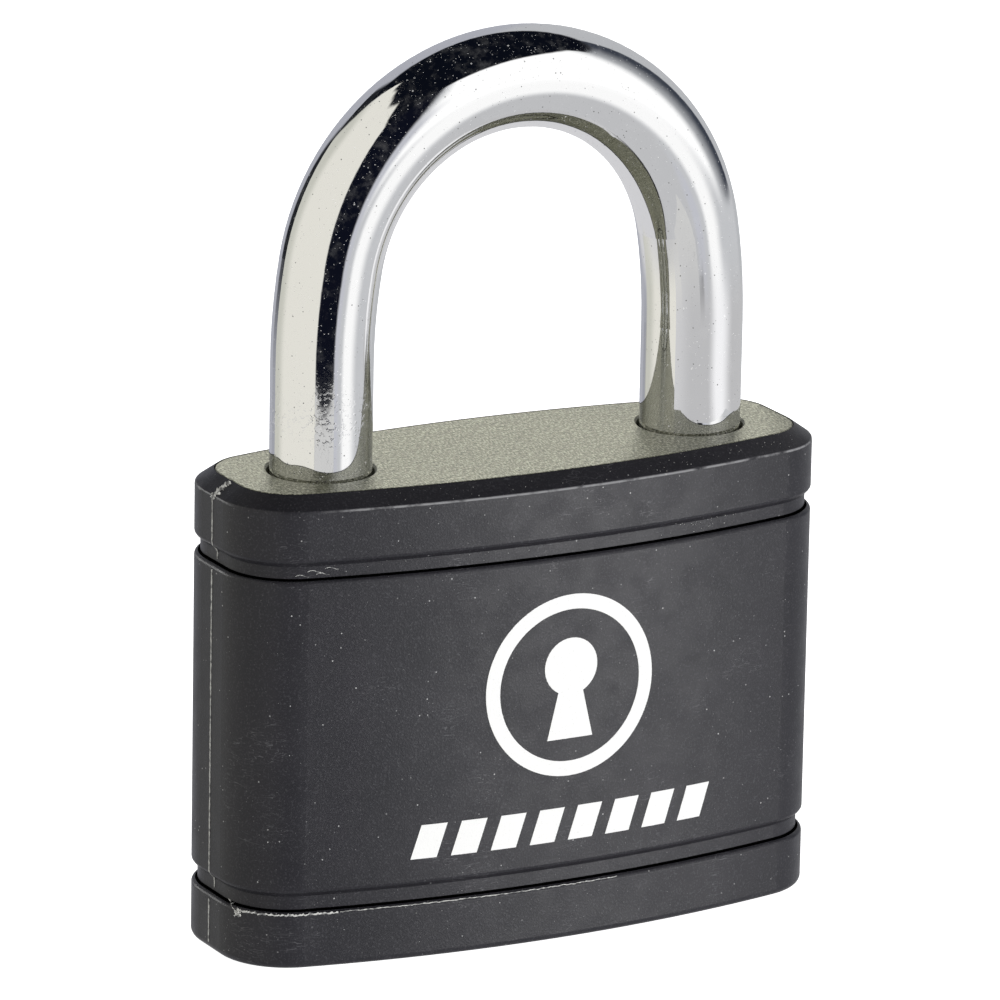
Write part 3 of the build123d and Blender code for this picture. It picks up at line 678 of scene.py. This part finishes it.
def card_face():
    """Pale grey with one bright stripe; it glows on its hollow side and fades out upwards."""
    material = bpy.data.materials.new("card_face")
    material.use_nodes = True
    s = Shader(material.node_tree)
    s.tree.nodes.clear()
    seen = s.node("ShaderNodeAttribute", attribute_name="seen").outputs["Fac"]
    stripe = s.math("MULTIPLY", s.window(seen, 20, 60, 12, 18), 0.42)
    tone = s.math("ADD", s.step(seen, CARD_FROM, -25, 0.64, 0.53), stripe)
    glow = s.node("ShaderNodeEmission", {"Color": (1, 1, 1.02, 1), "Strength": tone}).outputs[0]
    clear = s.node("ShaderNodeBsdfTransparent").outputs[0]
    geometry = s.node("ShaderNodeNewGeometry").outputs
    height = s.node("ShaderNodeSeparateXYZ", {0: geometry["Position"]}).outputs["Z"]
    fade = s.step(height, (TOP_Z + 8) * MM, (TOP_Z + CARD_RISE) * MM)
    see_through = s.math("MAXIMUM", fade, geometry["Backfacing"])
    face = s.node("ShaderNodeMixShader", {0: see_through, 1: glow, 2: clear}).outputs[0]
    s.node("ShaderNodeOutputMaterial", {"Surface": face})
    return material


def card_foot(turn):
    """How far from the leg the card's foot stands: never past the plate's edge. Millimetres."""
    front = PLATE_FRONT / max(math.cos(turn), 0.1)
    end = PLATE_END / max(math.sin(turn), 0.1)
    return min(CARD_RADIUS, front, end)


def reflector_card():
    """A narrow card bent round the front of the heel leg, seen only in reflections."""
    steps = 40
    rings = len(CARD_HEIGHTS)
    points, faces, seen_at = [], [], []
    for i in range(steps + 1):
        seen = CARD_FROM + (CARD_TO - CARD_FROM) * i / steps
        turn = card_turn(seen)
        for radius, up in zip((card_foot(turn), CARD_RADIUS, CARD_RADIUS), CARD_HEIGHTS):
            points.append((LEG_X + radius * math.sin(turn), -radius * math.cos(turn), TOP_Z + up))
            seen_at.append(seen)
    for i in range(steps):
        for k in range(rings - 1):
            a = i * rings + k
            faces.append((a, a + 1, a + 1 + rings, a + rings))
    mesh = bpy.data.meshes.new("reflector_card")
    mesh.from_pydata([Vector(p) * MM for p in points], [], faces)
    mesh.attributes.new("seen", "FLOAT", "POINT").data.foreach_set("value", seen_at)
    mesh.materials.append(card_face())
    card = bpy.data.objects.new("reflector_card", mesh)
    bpy.context.scene.collection.objects.link(card)
    hide_but_in_gloss(card)


def floor_card():
    """A pale card on the floor in front, which ends the dark gap's reflection above the foot."""
    material, s, principled = new_material("floor_card")
    glow = s.mix(s.noise(9.0, 2.0), (0.60, 0.60, 0.60, 1), (0.66, 0.66, 0.65, 1))
    connect(s, principled, Base_Color=(0, 0, 0, 1), Roughness=1.0, Specular_IOR_Level=0.0,
            Emission_Color=glow, Emission_Strength=1.0)
    corners = []
    near, far, left, right = 0.09, 0.214, -41, 1
    for turn, reach in ((left, near), (right, near), (right, far), (left, far)):
        turn = math.radians(turn)
        corners.append((-LEG_X * MM + reach * math.sin(turn), -reach * math.cos(turn), 0.0002))
    hide_but_in_gloss(flat_piece("floor_card", corners, material))


def studio():
    """Floor, lights and the world."""
    studio_world()
    reach, drop = 12.0, -0.0001
    corners = [(-reach, -reach, drop), (reach, -reach, drop),
               (reach, reach, drop), (-reach, reach, drop)]
    floor = flat_piece("floor", corners, floor_surface())
    floor.visible_glossy = False
    floor.visible_diffuse = False
    floor.visible_shadow = False
    softbox("back_box", (0.5, 1.5, 0.9), 1.6, 1.0, 12)
    softbox("front_box", (0.3, -1.5, 0.5), 1.6, 0.9, 17)
    softbox("paint_box", (0.66, 1.24, 0.55), 0.7, 0.5, 2.75, ["lock_body"], (1, 0.985, 0.84))
    softbox("front_sheen", (0.30, -0.50, -0.09), 0.34, 0.2, 1.05, JACKET)
    softbox("end_sheen", (-0.30, 0.52, 0.11), 0.3, 0.2, 0.75, JACKET)
    reflector_card()
    floor_card()


# ---------------------------------------------------------------- camera
def camera():
    """A long lens slightly above the lock, to the left of its front."""
    flat = math.cos(CAMERA_RISE)
    back = Vector((math.sin(CAMERA_AZIMUTH) * flat, -math.cos(CAMERA_AZIMUTH) * flat,
                   math.sin(CAMERA_RISE)))
    right = Vector((0, 0, 1)).cross(back).normalized()
    up = back.cross(right)
    tilted_right = math.cos(CAMERA_ROLL) * right + math.sin(CAMERA_ROLL) * up
    tilted_up = math.cos(CAMERA_ROLL) * up - math.sin(CAMERA_ROLL) * right
    data = bpy.data.cameras.new("camera")
    data.lens = CAMERA_LENS
    data.sensor_width = 36
    data.clip_start, data.clip_end = 0.05, 20
    eye = bpy.data.objects.new("camera", data)
    bpy.context.scene.collection.objects.link(eye)
    place = (CAMERA_TARGET - CAMERA_SIDESTEP[0] * tilted_right - CAMERA_SIDESTEP[1] * tilted_up
             + CAMERA_DISTANCE * back)
    turned = Matrix((tilted_right, tilted_up, back)).transposed().to_4x4()
    eye.matrix_world = Matrix.Translation(place) @ turned
    bpy.context.scene.camera = eye


paint_nodes()
front_print()
parting_lines()
torn_edges()
groove_marks()
studio()
camera()
bpy.context.scene.view_settings.view_transform = "Standard"
